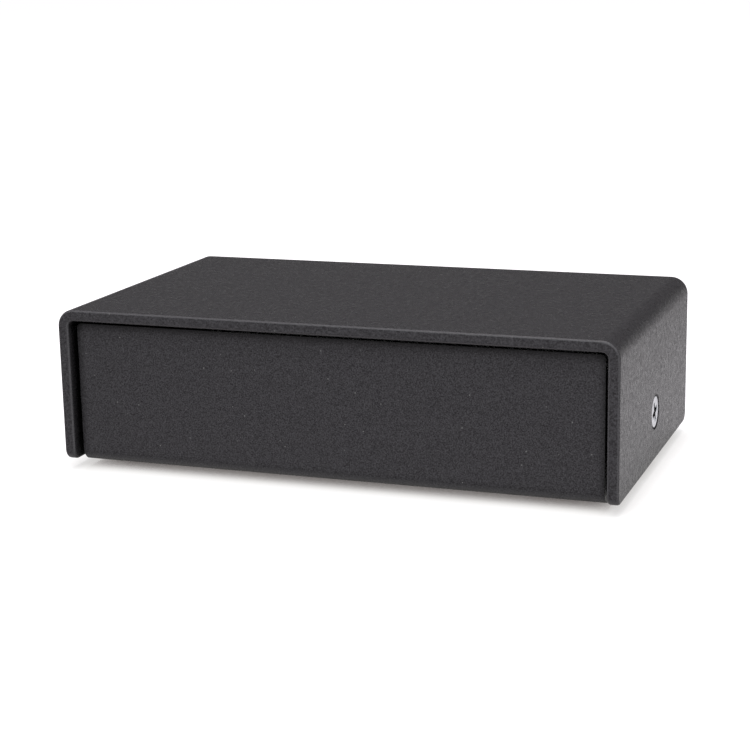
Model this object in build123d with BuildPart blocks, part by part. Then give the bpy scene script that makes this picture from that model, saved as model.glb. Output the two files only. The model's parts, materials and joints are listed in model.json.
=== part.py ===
from build123d import *
import math
import os

# Phono preamp in a small steel case.  A folded tray carries the circuit board and
# its own front and rear panels.  A folded cover slides over it and is held by one
# countersunk screw in each side.  The phono sockets, the earth terminal, the gain
# switch and the power inlet come out through the rear panel.
#
# Millimetres, +Z up, the front faces -Y.  The origin is on the table, under the
# middle of the preamp's overall length, sockets included.

# ---------------------------------------------------------------- driving sizes
# Cover
case_width = 104.0
case_depth = 60.0
cover_height = 28.4
cover_sheet = 2.1  # 2 mm steel and its coat
cover_bend = 3.2  # outside radius
cover_corner = 2.0  # lower corners of the side walls
edge_round = 0.55  # painted sheet edges

# Tray
tray_sheet = 1.5
tray_bend = 2.5  # outside radius
tray_gap = 0.75  # to the cover, all round
tray_drop = 0.55  # underside below the cover's lower edges
front_recess = 2.1  # front panel, behind the cover's edge
rear_recess = 3.0  # rear panel
panel_corner = 0.8
rear_margin = 2.0  # bare strip at each end of the rear panel
tab_width = 14.0
tab_rise = 5.5  # tab's top above its screw
tab_corner = 3.0
tab_gap = 0.15  # tab to the cover's side wall
relief_width = 1.2
relief_depth = 4.0

# Feet
foot_height = 1.5
foot_diameter = 9.0
foot_chamfer = 0.5
foot_side_inset = 6.6  # foot's middle from the tray's side edges
foot_end_inset = 13.5  # foot's middle from the panels' outer faces

# Cover screws, M3 countersunk
thread = 3.0
thread_gap = 0.05
screw_height = 9.1  # above the cover's lower edge
screw_length = 6.0
screw_head = 5.6
screw_gap = 0.2  # in the cover's hole
sink_margin = 0.5  # countersink around the head
head_land = 0.35
head_gap = 0.03
cross_length = 3.8
cross_width = 1.1
cross_depth = 1.3
cross_taper = 12.0
cross_turn = 20.0
clinch_diameter = 6.3
clinch_height = 2.0
clinch_shank = 4.2
shank_gap = 0.025

# Circuit board on its standoffs
board_thickness = 1.6
board_side_gap = 1.15  # to the clinch nuts
board_front_gap = 1.8  # to the panels
board_rear_gap = 0.7
board_corner = 1.5
board_screw_gap = 0.1
board_screw_length = 5.0
standoff_height = 4.0
standoff_diameter = 5.0
standoff_side_inset = 9.2  # middle from the board's side edges
standoff_front_inset = 5.0  # front pair from the board's front edge
standoff_clear = 2.2  # rear pair's screw heads to the power inlet
standoff_bottom = 1.2  # closed end of the thread
pan_head = 5.4
pan_height = 2.2
pan_round = 0.8
lead_length = 1.0  # solder tails below the board
lead_gap = 0.2  # solder tails in their holes

# Phono sockets, two to a block
socket_pitch = 14.0
socket_rise = 7.0  # axis above the board
socket_proud = 9.0  # sleeve end behind the rear panel
block_side_margin = 5.2  # beyond each socket's axis
block_top_margin = 2.2  # above the block's screw
block_depth = 10.0
block_round = 0.5
collar_wall = 0.5
collar_proud = 0.6
collar_gap = 0.15
sleeve_diameter = 8.3
sleeve_wall = 0.45
sleeve_shoulder = 0.25  # thicker end, inside the block
sleeve_depth = 7.0  # shoulder's end in front of the rear panel's outer face
sleeve_round = 0.3
insulator_sink = 0.6
contact_bore = 3.24  # mouth that grips the plug's pin
contact_mouth = 7.0
contact_wall = 0.48
contact_sink = 1.1
contact_end = 1.0
relief_wall = 0.3  # wider bore behind the mouth
contact_slit = 0.5
contact_slit_length = 6.0
stem_diameter = 2.0
part_gap = 0.05
tail_width = 1.4
tail_thickness = 0.6
tag_width = 2.0
tag_thickness = 0.5
block_screw_rise = 4.2  # above the sockets' axes
block_screw_thread = 2.6
block_screw_length = 7.0
block_screw_head = 5.0
block_screw_height = 1.8
block_screw_gap = 0.2

# Power inlet, for a 5.5 mm plug with a 2.1 mm bore
jack_rise = 6.5  # axis above the board
jack_bore = 6.4
jack_bore_depth = 9.5
jack_wall = 1.1
jack_side_margin = 0.2
jack_top_margin = 0.2
jack_depth = 14.0
jack_proud = 0.3
jack_pin = 2.0
jack_pin_root = 1.6  # inside the back of the body
jack_pin_sink = 1.0
jack_leaf_width = 2.4
jack_leaf_thickness = 0.5
jack_leaf_proud = 0.2
jack_leaf_start = 3.3
jack_leaf_end = 12.5

# Earth terminal, M4
ground_rise = 8.0  # axis above the board
stud_thread = 3.9
stud_gap = 0.2  # in the washer, the lug and the panel
stud_outside = 7.8
stud_inside = 6.5
flange_diameter = 9.0
flange_thickness = 1.0
washer_diameter = 8.0
washer_thickness = 0.6
turn_gap = 0.05  # between flange, washer and thumb nut
nut_diameter = 9.5
nut_height = 3.6
nut_collar = 7.0
nut_collar_height = 0.9
nut_groove_count = 30
groove_radius = 0.32
nut_chamfer = 0.4
lock_nut_flats = 7.0
lock_nut_height = 2.8
lug_thickness = 0.8
lug_diameter = 8.0
lug_gap = 0.46  # lock nut's corners to the lug's barrel
lug_tail_width = 3.0
lug_wall = 0.45
lug_barrel_length = 4.0
wire_diameter = 1.6
wire_length = 9.0  # rear panel to the wire's turn
wire_bend = 1.8

# Gain switch
switch_travel = 2.0
switch_height = 6.0
switch_wall = 0.4
switch_base_depth = 2.0
slide_gap = 0.2
slide_end_gap = 0.4
slot_gap = 0.2
carriage_depth = 2.0
tip_width = 3.4
tip_height = 2.6
tip_proud = 1.6
tip_groove = 0.3
switch_pin = 0.6
switch_pin_pitch = 2.5
switch_pin_rise = 1.2  # rows above and below the switch's middle
switch_pin_step = 1.5  # between the rows' tails

# Parts on the board
amp_length = 9.6
amp_width = 6.4
amp_height = 3.3
amp_rise = 0.5
amp_notch = 0.8
leg_pitch = 2.54
leg_pair_width = 7.62  # between an amplifier's two rows
leg_width = 1.0
leg_thickness = 0.4
film_count = 3  # beside each amplifier
film_width = 3.5
film_length = 7.2
film_height = 7.5
film_gap = 1.0
film_round = 0.4
can_count = 5
can_diameter = 6.3
can_height = 11.2
can_crimp = 0.35
reservoir_diameter = 10.0
reservoir_height = 12.5
resistor_count = 11
resistor_length = 6.3
resistor_diameter = 2.4
diode_length = 5.2
diode_diameter = 2.7
axial_gap = 0.4  # resistors and diode above the board
lead = 0.6
can_leg_width = 10.0
regulator_width = 10.2
regulator_thickness = 3.3
regulator_height = 9.2
regulator_rise = 0.8
regulator_tab = 1.3
regulator_tab_height = 15.0
regulator_hole = 3.6

# ------------------------------------------------------------- derived places
overall_depth = case_depth - rear_recess + socket_proud
case_front = -overall_depth / 2
case_back = case_front + case_depth
case_middle = (case_front + case_back) / 2
panel_front = case_front + front_recess
panel_rear = case_back - rear_recess
rear_inside = panel_rear - tray_sheet

floor_bottom = foot_height
floor_top = floor_bottom + tray_sheet
cover_bottom = floor_bottom + tray_drop
cover_top = cover_bottom + cover_height
inside_half = case_width / 2 - cover_sheet
inside_top = cover_top - cover_sheet
tray_half = inside_half - tray_gap
panel_top = inside_top - tray_gap
tab_outer = inside_half - tab_gap
tab_inner = tab_outer - tray_sheet
screw_z = cover_bottom + screw_height
tab_top = screw_z + tab_rise
foot_x = tray_half - foot_side_inset

board_bottom = floor_top + standoff_height
board_top = board_bottom + board_thickness
board_half = tab_inner - clinch_height - board_side_gap
board_front = panel_front + tray_sheet + board_front_gap
board_rear = rear_inside - board_rear_gap
tail_bottom = board_bottom - lead_length

socket_z = board_top + socket_rise
socket_end = panel_rear + socket_proud
collar_face = panel_rear + collar_proud
sleeve_seat = panel_rear - sleeve_depth
sleeve_bore = sleeve_diameter - 2 * sleeve_wall
sleeve_root = sleeve_diameter + 2 * sleeve_shoulder
collar_diameter = sleeve_root + 2 * collar_wall
contact_diameter = contact_bore + 2 * contact_wall
contact_relief = contact_diameter - 2 * relief_wall
contact_face = socket_end - contact_sink
block_back = rear_inside - block_depth
block_width = socket_pitch + 2 * block_side_margin
block_height = socket_rise + block_screw_rise + block_top_margin
block_screw_z = socket_z + block_screw_rise

jack_z = board_top + jack_rise
jack_nose = jack_bore + 2 * jack_wall
jack_width = jack_nose + 2 * jack_side_margin
jack_height = jack_rise + jack_nose / 2 + jack_top_margin
jack_back = rear_inside - jack_depth
jack_face = panel_rear + jack_proud
leaf_top = jack_z - jack_bore / 2 + jack_leaf_proud
leaf_bottom = leaf_top - jack_leaf_thickness
leaf_front = panel_rear - jack_leaf_end
leaf_rear = panel_rear - jack_leaf_start

ground_z = board_top + ground_rise
stud_hole = stud_thread + 2 * stud_gap
nut_bore = stud_thread + 2 * thread_gap
flange_face = panel_rear + flange_thickness
washer_face = flange_face + turn_gap
nut_face = washer_face + washer_thickness + turn_gap
lug_barrel = wire_diameter + 2 * part_gap + 2 * lug_wall
lug_z = ground_z - lock_nut_flats / math.sqrt(3) - lug_gap - lug_barrel / 2
wire_y = rear_inside - wire_length

slot_width = tip_width + switch_travel + 2 * slot_gap
slot_height = tip_height + 2 * slot_gap
carriage_width = slot_width + switch_travel + 2 * slide_gap
switch_width = carriage_width + switch_travel + 2 * slide_end_gap + 2 * switch_wall
switch_depth = switch_wall + 2 * slide_gap + carriage_depth + switch_base_depth
switch_z = board_top + switch_height / 2
switch_back = rear_inside - switch_depth


def spread(lengths, start, end):
    """Middles of a row of pieces of these lengths, with equal gaps between and beside them."""
    gap = (end - start - sum(lengths)) / (len(lengths) + 1)
    middles = []
    for length in lengths:
        start += gap + length
        middles.append(start - length / 2)
    return middles


# Along the rear panel
jack_x, output_x, switch_x, input_x, ground_x = spread(
    [jack_width, block_width, switch_width, block_width, flange_diameter],
    rear_margin - tray_half,
    tray_half - rear_margin,
)
slide_rest = switch_x - switch_travel / 2

# Standoffs, and the rows of parts on the board between them
standoff_x = board_half - standoff_side_inset
standoff_rear_y = jack_back - tail_thickness - standoff_clear - pan_head / 2
standoff_rows = (board_front + standoff_front_inset, standoff_rear_y)
standoff_places = [(side * standoff_x, row_y) for side in (-1, 1) for row_y in standoff_rows]
row_half = standoff_x - pan_head / 2
can_y, amp_y, axial_y = spread(
    [can_diameter, reservoir_diameter, can_leg_width + lead], board_front, block_back - tail_thickness
)
regulator_x, *can_columns = spread([regulator_width] + [can_diameter] * can_count, -row_half, row_half)
diode_x, *resistor_columns = spread(
    [diode_diameter] + [resistor_diameter] * resistor_count, -row_half, row_half
)
film_bank = film_count * film_width + (film_count - 1) * film_gap
reservoir_left, reservoir_right, amp_left, film_left, amp_right, film_right = spread(
    [reservoir_diameter, reservoir_diameter, amp_length, film_bank, amp_length, film_bank],
    -board_half,
    board_half,
)

# Places of the tails that go down through the board
socket_columns = [pair_x + end * socket_pitch / 2 for pair_x in (output_x, input_x) for end in (-1, 1)]
contact_tail_y = block_back - tail_thickness / 2
tag_y = sleeve_seat + tag_thickness / 2
pin_tail_y = jack_back - tail_thickness / 2
leaf_tail_y = leaf_front + jack_leaf_thickness / 2
switch_columns = [switch_x + (index - 1) * switch_pin_pitch for index in range(3)]
switch_rows = (
    (switch_z - switch_pin_rise, switch_back - switch_pin_step),
    (switch_z + switch_pin_rise, switch_back - 2 * switch_pin_step),
)


# -------------------------------------------------------------------- helpers
def wall_plane(y):
    """Upright plane at depth y: sketch x is X, sketch y is Z, extrusions go to the front."""
    return Plane(origin=(0, y, 0), x_dir=(1, 0, 0), z_dir=(0, -1, 0))


def side_plane(side, distance, height):
    """Upright plane square to X at a cover screw, facing outwards on that side."""
    return Plane(origin=(side * distance, case_middle, height), x_dir=(0, side, 0), z_dir=(side, 0, 0))


def cross_recess(head_plane, turn=0.0):
    """Outline of the cross that a screwdriver enters."""
    with BuildSketch(head_plane) as cross:
        Rectangle(cross_length, cross_width, rotation=turn)
        Rectangle(cross_width, cross_length, rotation=turn)
    return cross.sketch


os.makedirs("parts", exist_ok=True)

# ---------------------------------------------------------------------- cover
with BuildPart() as top_cover:
    with BuildSketch(wall_plane(case_back)):
        with BuildLine():
            cover_outer = FilletPolyline(
                (-case_width / 2, cover_bottom),
                (-case_width / 2, cover_top),
                (case_width / 2, cover_top),
                (case_width / 2, cover_bottom),
                radius=cover_bend,
            )
            cover_inner = FilletPolyline(
                (-inside_half, cover_bottom),
                (-inside_half, inside_top),
                (inside_half, inside_top),
                (inside_half, cover_bottom),
                radius=cover_bend - cover_sheet,
            )
            Line(cover_outer @ 0, cover_inner @ 0)
            Line(cover_outer @ 1, cover_inner @ 1)
        make_face()
    extrude(amount=case_depth)
    fillet(top_cover.edges().filter_by(Axis.X).group_by(Axis.Z)[0], cover_corner)
    # The edges along the bends and across the rounded corners are seams, not corners
    seams = top_cover.edges().filter_by(Axis.Y).group_by(Axis.Z)[1:]
    across = top_cover.edges().filter_by(Axis.X).filter_by(lambda edge: edge.length < 2 * cover_sheet)
    rim = top_cover.edges() - across
    for seam in seams:
        rim = rim - seam
    fillet(rim, edge_round)
    for side in (-1, 1):
        with Locations(side_plane(side, case_width / 2, screw_z)):
            CounterSinkHole(
                radius=thread / 2 + screw_gap,
                counter_sink_radius=screw_head / 2 + sink_margin,
                depth=2 * cover_sheet,
                counter_sink_angle=90,
            )
top_cover.part.label = "top_cover"
export_step(top_cover.part, "parts/top_cover.step")

# ----------------------------------------------------------------------- tray
with BuildPart() as base_tray:
    with BuildSketch(Plane.YZ.offset(-tray_half)):
        with BuildLine():
            tray_outer = FilletPolyline(
                (panel_front, panel_top),
                (panel_front, floor_bottom),
                (panel_rear, floor_bottom),
                (panel_rear, panel_top),
                radius=tray_bend,
            )
            tray_inner = FilletPolyline(
                (panel_front + tray_sheet, panel_top),
                (panel_front + tray_sheet, floor_top),
                (rear_inside, floor_top),
                (rear_inside, panel_top),
                radius=tray_bend - tray_sheet,
            )
            Line(tray_outer @ 0, tray_inner @ 0)
            Line(tray_outer @ 1, tray_inner @ 1)
        make_face()
    extrude(amount=2 * tray_half)
    fillet(base_tray.edges().filter_by(Axis.Y).group_by(Axis.Z)[-1], panel_corner)
    # Notches in the floor's sides, filled again by the folded tabs and their bends
    with BuildSketch(Plane.XY.offset(floor_bottom)):
        with Locations((-tray_half, case_middle), (tray_half, case_middle)):
            Rectangle(2 * relief_depth, tab_width + 2 * relief_width)
    extrude(amount=tray_sheet, mode=Mode.SUBTRACT)
    for side in (-1, 1):
        tab_root = side * (tray_half - relief_depth)
        with BuildSketch(wall_plane(case_middle + tab_width / 2)):
            with BuildLine():
                tab_under = FilletPolyline(
                    (tab_root, floor_bottom),
                    (side * tab_outer, floor_bottom),
                    (side * tab_outer, tab_top),
                    radius=tray_bend,
                )
                tab_over = FilletPolyline(
                    (tab_root, floor_top),
                    (side * tab_inner, floor_top),
                    (side * tab_inner, tab_top),
                    radius=tray_bend - tray_sheet,
                )
                Line(tab_under @ 0, tab_over @ 0)
                Line(tab_under @ 1, tab_over @ 1)
            make_face()
        extrude(amount=tab_width)
    # The tabs' tops are the level faces next below the panels' tops
    tab_tops = base_tray.faces().filter_by(Plane.XY).group_by(Axis.Z)[-2]
    fillet(tab_tops.edges().filter_by(Axis.X), tab_corner)
    for side in (-1, 1):
        with BuildSketch(side_plane(side, tab_inner, screw_z)):
            Circle(clinch_shank / 2 + shank_gap)
        extrude(amount=tray_sheet, mode=Mode.SUBTRACT)
    with BuildSketch(Plane.XY.offset(floor_bottom)):
        with Locations(standoff_places):
            Circle(clinch_shank / 2 + shank_gap)
    extrude(amount=tray_sheet, mode=Mode.SUBTRACT)
    # Openings in the rear panel
    with BuildSketch(wall_plane(panel_rear)):
        for pair_x in (output_x, input_x):
            with Locations((pair_x, socket_z)):
                with GridLocations(socket_pitch, 0, 2, 1):
                    Circle(collar_diameter / 2 + collar_gap)
            with Locations((pair_x, block_screw_z)):
                Circle(block_screw_thread / 2 + block_screw_gap)
        with Locations((jack_x, jack_z)):
            Circle(jack_nose / 2 + collar_gap)
        with Locations((ground_x, ground_z)):
            Circle(stud_hole / 2)
        with Locations((switch_x, switch_z)):
            Rectangle(slot_width + 2 * slot_gap, slot_height + 2 * slot_gap)
    extrude(amount=tray_sheet, mode=Mode.SUBTRACT)
base_tray.part.label = "base_tray"
export_step(base_tray.part, "parts/base_tray.step")

# ------------------------------------------- clinch nuts, cover screws and feet
for name, side in (("left", -1), ("right", 1)):
    with BuildPart() as clinch_nut:
        with BuildSketch(side_plane(side, tab_inner, screw_z)):
            Circle(clinch_diameter / 2)
        extrude(amount=-clinch_height)
        with BuildSketch(side_plane(side, tab_inner, screw_z)):
            Circle(clinch_shank / 2)
        extrude(amount=tray_sheet)
        with BuildSketch(side_plane(side, tab_outer, screw_z)):
            Circle(thread / 2 + thread_gap)
        extrude(amount=-(tray_sheet + clinch_height), mode=Mode.SUBTRACT)
    clinch_nut.part.label = f"clinch_nut_{name}"
    export_step(clinch_nut.part, f"parts/clinch_nut_{name}.step")

    # The head's cone rests in the countersink, so a wider sink lets it in deeper
    head_face = side_plane(side, case_width / 2 - sink_margin + head_land + head_gap, screw_z)
    cone_height = (screw_head - thread) / 2
    with BuildPart() as cover_screw:
        with BuildSketch(head_face):
            Circle(screw_head / 2)
        extrude(amount=-head_land)
        with Locations(head_face.offset(-head_land - cone_height)):
            Cone(thread / 2, screw_head / 2, cone_height, align=(Align.CENTER, Align.CENTER, Align.MIN))
        with BuildSketch(head_face):
            Circle(thread / 2)
        extrude(amount=-screw_length)
        chamfer(cover_screw.faces().sort_by(Axis.X)[0 if side > 0 else -1].edges(), thread / 10)
        cross = cross_recess(head_face, cross_turn)
        extrude(cross, amount=-cross_depth, taper=cross_taper, mode=Mode.SUBTRACT)
    cover_screw.part.label = f"cover_screw_{name}"
    export_step(cover_screw.part, f"parts/cover_screw_{name}.step")

for end, foot_y in (("front", panel_front + foot_end_inset), ("rear", panel_rear - foot_end_inset)):
    for name, side in (("left", -1), ("right", 1)):
        with BuildPart() as foot:
            with BuildSketch(Plane.XY):
                with Locations((side * foot_x, foot_y)):
                    Circle(foot_diameter / 2)
            extrude(amount=foot_height)
            chamfer(foot.edges().group_by(Axis.Z)[0], foot_chamfer)
        foot.part.label = f"foot_{end}_{name}"
        export_step(foot.part, f"parts/foot_{end}_{name}.step")

# ----------------------------------------------------- circuit board mountings
with BuildPart() as board_standoffs:
    with BuildSketch(Plane.XY.offset(floor_bottom)):
        with Locations(standoff_places):
            Circle(clinch_shank / 2)
    extrude(amount=tray_sheet)
    with BuildSketch(Plane.XY.offset(floor_top)):
        with Locations(standoff_places):
            Circle(standoff_diameter / 2)
    extrude(amount=standoff_height)
    with BuildSketch(Plane.XY.offset(floor_bottom + standoff_bottom)):
        with Locations(standoff_places):
            Circle(thread / 2 + thread_gap)
    extrude(amount=board_bottom - floor_bottom - standoff_bottom, mode=Mode.SUBTRACT)
board_standoffs.part.label = "board_standoffs"
export_step(board_standoffs.part, "parts/board_standoffs.step")

with BuildPart() as board_screws:
    with BuildSketch(Plane.XY.offset(board_top)):
        with Locations(standoff_places):
            Circle(pan_head / 2)
    extrude(amount=pan_height)
    fillet(board_screws.edges().group_by(Axis.Z)[-1], pan_round)
    with BuildSketch(Plane.XY.offset(board_top)):
        with Locations(standoff_places):
            Circle(thread / 2)
    extrude(amount=-board_screw_length)
    for screw_x, screw_y in standoff_places:
        cross = cross_recess(Plane(origin=(screw_x, screw_y, board_top + pan_height)))
        extrude(cross, amount=-cross_depth, taper=cross_taper, mode=Mode.SUBTRACT)
board_screws.part.label = "board_screws"
export_step(board_screws.part, "parts/board_screws.step")

# -------------------------------------------------------------- circuit board
with BuildPart() as circuit_board:
    with BuildSketch(Plane.XY.offset(board_bottom)):
        with Locations((0, (board_front + board_rear) / 2)):
            RectangleRounded(2 * board_half, board_rear - board_front, board_corner)
        with Locations(standoff_places):
            Circle(thread / 2 + board_screw_gap, mode=Mode.SUBTRACT)
        for column in socket_columns:
            with Locations((column, contact_tail_y)):
                Circle(tail_width / 2 + lead_gap, mode=Mode.SUBTRACT)
            with Locations((column, tag_y)):
                Circle(tag_width / 2 + lead_gap, mode=Mode.SUBTRACT)
        with Locations((jack_x, pin_tail_y)):
            Circle(tail_width / 2 + lead_gap, mode=Mode.SUBTRACT)
        with Locations((jack_x, leaf_tail_y)):
            Circle(jack_leaf_width / 2 + lead_gap, mode=Mode.SUBTRACT)
        with Locations((ground_x, wire_y)):
            Circle(wire_diameter / 2 + lead_gap, mode=Mode.SUBTRACT)
        for row_z, row_y in switch_rows:
            with Locations([(column, row_y) for column in switch_columns]):
                Circle(switch_pin / 2 + lead_gap, mode=Mode.SUBTRACT)
        for amp_x in (amp_left, amp_right):
            with Locations((amp_x, amp_y)):
                with GridLocations(leg_pitch, leg_pair_width, 4, 2):
                    Circle(leg_width / 2 + lead_gap, mode=Mode.SUBTRACT)
        for column in [diode_x] + resistor_columns:
            with Locations((column, axial_y)):
                with GridLocations(0, can_leg_width, 1, 2):
                    Circle(lead / 2 + lead_gap, mode=Mode.SUBTRACT)
        with Locations((regulator_x, can_y)):
            with GridLocations(leg_pitch, 0, 3, 1):
                Circle(leg_width / 2 + lead_gap, mode=Mode.SUBTRACT)
    extrude(amount=board_thickness)
circuit_board.part.label = "circuit_board"
export_step(circuit_board.part, "parts/circuit_board.step")

# -------------------------------------------------------------- phono sockets
for name, pair_x in (("output", output_x), ("input", input_x)):
    with BuildPart() as block:
        with BuildSketch(wall_plane(rear_inside)):
            with Locations((pair_x, board_top + block_height / 2)):
                RectangleRounded(block_width, block_height, block_round)
        extrude(amount=block_depth)
        with BuildSketch(wall_plane(collar_face)):
            with Locations((pair_x, socket_z)):
                with GridLocations(socket_pitch, 0, 2, 1):
                    Circle(collar_diameter / 2)
        extrude(amount=collar_face - rear_inside)
        with BuildSketch(wall_plane(collar_face)):
            with Locations((pair_x, socket_z)):
                with GridLocations(socket_pitch, 0, 2, 1):
                    Circle(sleeve_root / 2 + part_gap)
        extrude(amount=collar_face - sleeve_seat, mode=Mode.SUBTRACT)
        with BuildSketch(wall_plane(sleeve_seat)):
            with Locations((pair_x, socket_z)):
                with GridLocations(socket_pitch, 0, 2, 1):
                    Circle(stem_diameter / 2 + part_gap)
        extrude(amount=sleeve_seat - block_back, mode=Mode.SUBTRACT)
        # Slots that the sleeves' earth tags come down through
        slot_top = socket_z - sleeve_bore / 2
        with BuildSketch(wall_plane(sleeve_seat + tag_thickness + part_gap)):
            with Locations((pair_x, (board_top + slot_top) / 2)):
                with GridLocations(socket_pitch, 0, 2, 1):
                    Rectangle(tag_width + 2 * part_gap, slot_top - board_top)
        extrude(amount=tag_thickness + part_gap, mode=Mode.SUBTRACT)
        with BuildSketch(wall_plane(rear_inside)):
            with Locations((pair_x, block_screw_z)):
                Circle(block_screw_thread / 2 + thread_gap)
        extrude(amount=block_screw_length, mode=Mode.SUBTRACT)
    block.part.label = f"{name}_socket_block"
    export_step(block.part, f"parts/{name}_socket_block.step")

    # Seen from behind, the left channel is on the left, towards +X
    for channel, end in (("left", 1), ("right", -1)):
        socket_x = pair_x + end * socket_pitch / 2
        with BuildPart() as sleeve:
            with BuildSketch(wall_plane(socket_end)):
                with Locations((socket_x, socket_z)):
                    Circle(sleeve_diameter / 2)
                    Circle(sleeve_bore / 2, mode=Mode.SUBTRACT)
            extrude(amount=socket_end - collar_face)
            fillet(sleeve.edges().group_by(Axis.Y)[-1].sort_by(SortBy.RADIUS)[-1], sleeve_round)
            with BuildSketch(wall_plane(collar_face)):
                with Locations((socket_x, socket_z)):
                    Circle(sleeve_root / 2)
                    Circle(sleeve_bore / 2, mode=Mode.SUBTRACT)
            extrude(amount=collar_face - sleeve_seat)
            tag_top = socket_z - (sleeve_root + sleeve_bore) / 4
            with BuildSketch(wall_plane(sleeve_seat + tag_thickness)):
                with Locations((socket_x, (tag_top + tail_bottom) / 2)):
                    Rectangle(tag_width, tag_top - tail_bottom)
            extrude(amount=tag_thickness)
        sleeve.part.label = f"{name}_{channel}_sleeve"
        export_step(sleeve.part, f"parts/{name}_{channel}_sleeve.step")

        with BuildPart() as insulator:
            with BuildSketch(wall_plane(socket_end - insulator_sink)):
                with Locations((socket_x, socket_z)):
                    Circle(sleeve_bore / 2 - part_gap)
                    Circle(contact_diameter / 2 + part_gap, mode=Mode.SUBTRACT)
            extrude(amount=socket_end - insulator_sink - sleeve_seat)
        insulator.part.label = f"{name}_{channel}_insulator"
        export_step(insulator.part, f"parts/{name}_{channel}_insulator.step")

        with BuildPart() as contact:
            with BuildSketch(wall_plane(contact_face)):
                with Locations((socket_x, socket_z)):
                    Circle(contact_diameter / 2)
            extrude(amount=contact_face - sleeve_seat)
            with BuildSketch(wall_plane(contact_face)):
                with Locations((socket_x, socket_z)):
                    Circle(contact_bore / 2)
            extrude(amount=contact_mouth, mode=Mode.SUBTRACT)
            with BuildSketch(wall_plane(contact_face - contact_mouth)):
                with Locations((socket_x, socket_z)):
                    Circle(contact_relief / 2)
            extrude(amount=contact_face - contact_mouth - sleeve_seat - contact_end, mode=Mode.SUBTRACT)
            with BuildSketch(wall_plane(contact_face)):
                with Locations((socket_x, socket_z)):
                    Rectangle(contact_slit, contact_diameter + 2 * part_gap)
            extrude(amount=contact_slit_length, mode=Mode.SUBTRACT)
            with BuildSketch(wall_plane(sleeve_seat)):
                with Locations((socket_x, socket_z)):
                    Circle(stem_diameter / 2)
            extrude(amount=sleeve_seat - block_back)
            with BuildSketch(wall_plane(block_back)):
                with Locations((socket_x, (socket_z + stem_diameter / 2 + tail_bottom) / 2)):
                    Rectangle(tail_width, socket_z + stem_diameter / 2 - tail_bottom)
            extrude(amount=tail_thickness)
        contact.part.label = f"{name}_{channel}_contact"
        export_step(contact.part, f"parts/{name}_{channel}_contact.step")

with BuildPart() as block_screws:
    for pair_x in (output_x, input_x):
        with BuildSketch(wall_plane(panel_rear + block_screw_height)):
            with Locations((pair_x, block_screw_z)):
                Circle(block_screw_head / 2)
        extrude(amount=block_screw_height)
    fillet(block_screws.edges().group_by(Axis.Y)[-1], pan_round)
    for pair_x in (output_x, input_x):
        with BuildSketch(wall_plane(panel_rear)):
            with Locations((pair_x, block_screw_z)):
                Circle(block_screw_thread / 2)
        extrude(amount=block_screw_length)
        top_face = Plane(
            origin=(pair_x, panel_rear + block_screw_height, block_screw_z),
            x_dir=(1, 0, 0),
            z_dir=(0, 1, 0),
        )
        cross = cross_recess(top_face, cross_turn)
        extrude(cross, amount=-cross_depth, taper=cross_taper, mode=Mode.SUBTRACT)
block_screws.part.label = "block_screws"
export_step(block_screws.part, "parts/block_screws.step")

# ---------------------------------------------------------------- power inlet
with BuildPart() as dc_jack_body:
    with BuildSketch(wall_plane(rear_inside)):
        with Locations((jack_x, board_top + jack_height / 2)):
            RectangleRounded(jack_width, jack_height, block_round)
    extrude(amount=jack_depth)
    with BuildSketch(wall_plane(jack_face)):
        with Locations((jack_x, jack_z)):
            Circle(jack_nose / 2)
    extrude(amount=jack_face - rear_inside)
    with BuildSketch(wall_plane(jack_face)):
        with Locations((jack_x, jack_z)):
            Circle(jack_bore / 2)
    extrude(amount=jack_bore_depth, mode=Mode.SUBTRACT)
    with BuildSketch(wall_plane(jack_face)):
        with Locations((jack_x, jack_z)):
            Circle(jack_pin_root / 2 + part_gap)
    extrude(amount=jack_face - jack_back, mode=Mode.SUBTRACT)
    # Channel for the spring leaf, and the way down for its tail
    with BuildSketch(wall_plane(leaf_rear + part_gap)):
        with Locations((jack_x, leaf_bottom - part_gap)):
            Rectangle(
                jack_leaf_width + 2 * part_gap,
                jack_leaf_thickness + 2 * part_gap,
                align=(Align.CENTER, Align.MIN),
            )
    extrude(amount=leaf_rear - leaf_front + 2 * part_gap, mode=Mode.SUBTRACT)
    with BuildSketch(wall_plane(leaf_front + jack_leaf_thickness + part_gap)):
        with Locations((jack_x, board_top)):
            Rectangle(
                jack_leaf_width + 2 * part_gap,
                leaf_top - board_top,
                align=(Align.CENTER, Align.MIN),
            )
    extrude(amount=jack_leaf_thickness + 2 * part_gap, mode=Mode.SUBTRACT)
dc_jack_body.part.label = "dc_jack_body"
export_step(dc_jack_body.part, "parts/dc_jack_body.step")

with BuildPart() as dc_jack_pin:
    with BuildSketch(wall_plane(jack_face - jack_pin_sink)):
        with Locations((jack_x, jack_z)):
            Circle(jack_pin / 2)
    extrude(amount=jack_bore_depth - jack_pin_sink)
    fillet(dc_jack_pin.edges().group_by(Axis.Y)[-1], sleeve_round)
    with BuildSketch(wall_plane(jack_face - jack_bore_depth)):
        with Locations((jack_x, jack_z)):
            Circle(jack_pin_root / 2)
    extrude(amount=jack_face - jack_bore_depth - jack_back)
    with BuildSketch(wall_plane(jack_back)):
        with Locations((jack_x, tail_bottom)):
            Rectangle(tail_width, jack_z + jack_pin / 2 - tail_bottom, align=(Align.CENTER, Align.MIN))
    extrude(amount=tail_thickness)
dc_jack_pin.part.label = "dc_jack_pin"
export_step(dc_jack_pin.part, "parts/dc_jack_pin.step")

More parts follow.
